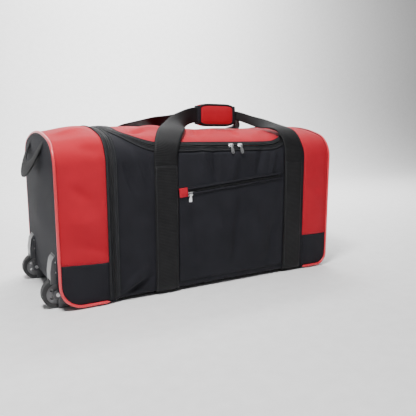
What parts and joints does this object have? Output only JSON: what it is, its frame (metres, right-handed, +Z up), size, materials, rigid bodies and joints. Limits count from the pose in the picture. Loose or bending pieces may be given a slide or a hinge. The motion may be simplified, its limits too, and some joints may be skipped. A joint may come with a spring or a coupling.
{
  "type": "rolling duffel bag",
  "caption": "Soft rolling duffel bag with a zipped U-shaped lid, webbing carry handles, end grab handles, a front zip pocket and inset wheels at one end.",
  "frame": {"origin": "on the floor under the middle of the bag", "axes": "+X from the wheel end to the far end, -Y the front with the zip pocket, +Z up"},
  "size_m": [0.8058, 0.3522, 0.451],
  "materials": {
    "red_fabric": "satin coated polyester",
    "grip_fabric": "padded red polyester with black binding",
    "black_fabric": "charcoal black woven polyester",
    "webbing": "ribbed black polypropylene webbing",
    "zip_tape": "black woven tape",
    "zip_coil": "black nylon coil",
    "piping": "glossy red cord cover",
    "zip_metal": "nickel plated zinc",
    "board": "black fibre board",
    "runner_plastic": "black moulded plastic",
    "housing_plastic": "glossy dark grey moulded plastic",
    "hub_plastic": "black moulded plastic",
    "tyre": "black polyurethane",
    "steel": "zinc plated steel"
  },
  "bodies": {
    "bag": {"wheel_end_panel": "black_fabric", "base_panel": "black_fabric", "far_end_panel": "black_fabric", "wheel_section_upper": "red_fabric", "wheel_section_lower": "black_fabric", "far_section_upper": "red_fabric", "far_section_lower": "black_fabric", "front_side_panel": "black_fabric", "rear_side_panel": "black_fabric", "wheel_side_gusset": "black_fabric", "far_side_gusset": "black_fabric", "body_zip_tape": "zip_tape", "body_zip_coil": "zip_coil", "lid_hinge_tape": "zip_tape", "girth_zip_tape": "zip_tape", "girth_zip_coil": "zip_coil", "wheel_end_piping": "piping", "far_end_piping": "piping", "wheel_side_belt": "webbing", "far_side_belt": "webbing", "front_pocket_panel": "black_fabric", "pocket_zip_tape": "zip_tape", "pocket_zip_coil": "zip_coil", "pocket_zip_tab": "red_fabric", "haul_handle_patches": "webbing", "d_ring_tab": "webbing", "base_board": "board", "end_board": "board", "skid_runners": "runner_plastic", "front_wheel_housing": "housing_plastic", "rear_wheel_housing": "housing_plastic", "front_axle": "steel", "rear_axle": "steel", "housing_screws": "steel"},
    "lid": {"lid": "red_fabric", "lid_zip_tape": "zip_tape", "lid_zip_coil": "zip_coil"},
    "main_slider_left": {"main_slider_left": "zip_metal"},
    "main_pull_left": {"main_pull_left": "zip_metal"},
    "main_slider_right": {"main_slider_right": "zip_metal"},
    "main_pull_right": {"main_pull_right": "zip_metal"},
    "pocket_slider": {"pocket_slider": "zip_metal"},
    "pocket_pull": {"pocket_pull": "zip_metal"},
    "girth_slider": {"girth_slider": "zip_metal"},
    "girth_pull": {"girth_pull": "zip_metal"},
    "front_handle": {"front_handle_wheel_leg": "webbing", "front_handle_far_leg": "webbing", "front_grip_half": "grip_fabric"},
    "rear_handle": {"rear_handle_wheel_leg": "webbing", "rear_handle_far_leg": "webbing", "rear_grip_half": "grip_fabric"},
    "haul_handle": {"haul_handle_webbing": "webbing", "haul_handle_pad": "black_fabric"},
    "d_ring": {"d_ring": "zip_metal"},
    "wheel_end_loop": {"wheel_end_loop": "webbing"},
    "front_wheel": {"front_tyre": "tyre", "front_hub": "hub_plastic"},
    "rear_wheel": {"rear_tyre": "tyre", "rear_hub": "hub_plastic"}
  },
  "joints": [
    {"name": "lid_open", "type": "hinge", "parent": "bag", "child": "lid", "pos_m": [0.018, 0.155, 0.34164], "axis": [-1, 0, 0], "range_deg": [0, 65]},
    {"name": "front_handle_swing", "type": "hinge", "parent": "bag", "child": "front_handle", "pos_m": [0.06, -0.176, 0.3], "axis": [1, 0, 0], "range_deg": [0, 169]},
    {"name": "rear_handle_swing", "type": "hinge", "parent": "bag", "child": "rear_handle", "pos_m": [0.06, 0.176, 0.3], "axis": [-1, 0, 0], "range_deg": [0, 169]},
    {"name": "main_zip_left", "type": "slide", "parent": "lid", "child": "main_slider_left", "axis": [-1, 0, 0], "range_m": [0, 0.12]},
    {"name": "main_zip_right", "type": "slide", "parent": "lid", "child": "main_slider_right", "axis": [1, 0, 0], "range_m": [0, 0.07]},
    {"name": "main_pull_left_swing", "type": "hinge", "parent": "main_slider_left", "child": "main_pull_left", "pos_m": [0.053, -0.16143, 0.34569], "axis": [-1, 0, 0], "range_deg": [0, 120]},
    {"name": "main_pull_right_swing", "type": "hinge", "parent": "main_slider_right", "child": "main_pull_right", "pos_m": [0.08, -0.16143, 0.34569], "axis": [-1, 0, 0], "range_deg": [0, 120]},
    {"name": "pocket_zip", "type": "slide", "parent": "bag", "child": "pocket_slider", "axis": [0.9957, 0, 0.0924], "range_m": [0, 0.25]},
    {"name": "pocket_pull_swing", "type": "hinge", "parent": "pocket_slider", "child": "pocket_pull", "pos_m": [-0.06508, -0.1726, 0.23225], "axis": [-1, 0, 0], "range_deg": [0, 120]},
    {"name": "girth_zip", "type": "slide", "parent": "bag", "child": "girth_slider", "axis": [0, 0, 1], "range_m": [-0.15, 0.08]},
    {"name": "girth_pull_swing", "type": "hinge", "parent": "girth_slider", "child": "girth_pull", "pos_m": [-0.252, 0.1726, 0.19], "axis": [1, 0, 0], "range_deg": [0, 120]},
    {"name": "haul_handle_swing", "type": "hinge", "parent": "bag", "child": "haul_handle", "pos_m": [0.3743, 0, 0.2825], "axis": [0, -1, 0], "range_deg": [0, 90]},
    {"name": "d_ring_swing", "type": "hinge", "parent": "bag", "child": "d_ring", "pos_m": [0.3755, 0, 0.322], "axis": [0, -1, 0], "range_deg": [0, 120]},
    {"name": "wheel_end_loop_swing", "type": "hinge", "parent": "bag", "child": "wheel_end_loop", "pos_m": [-0.372, 0, 0.366], "axis": [0, 1, 0], "range_deg": [0, 65]},
    {"name": "front_wheel_spin", "type": "hinge", "parent": "bag", "child": "front_wheel", "pos_m": [-0.37, -0.1215, 0.032], "axis": [0, 1, 0], "continuous": true},
    {"name": "rear_wheel_spin", "type": "hinge", "parent": "bag", "child": "rear_wheel", "pos_m": [-0.37, 0.1215, 0.032], "axis": [0, 1, 0], "continuous": true}
  ],
  "couplings": [
    {"joint": "front_handle_swing", "follows": "lid_open", "ratio": 2.6},
    {"joint": "rear_handle_swing", "follows": "lid_open", "ratio": 2.6}
  ]
}
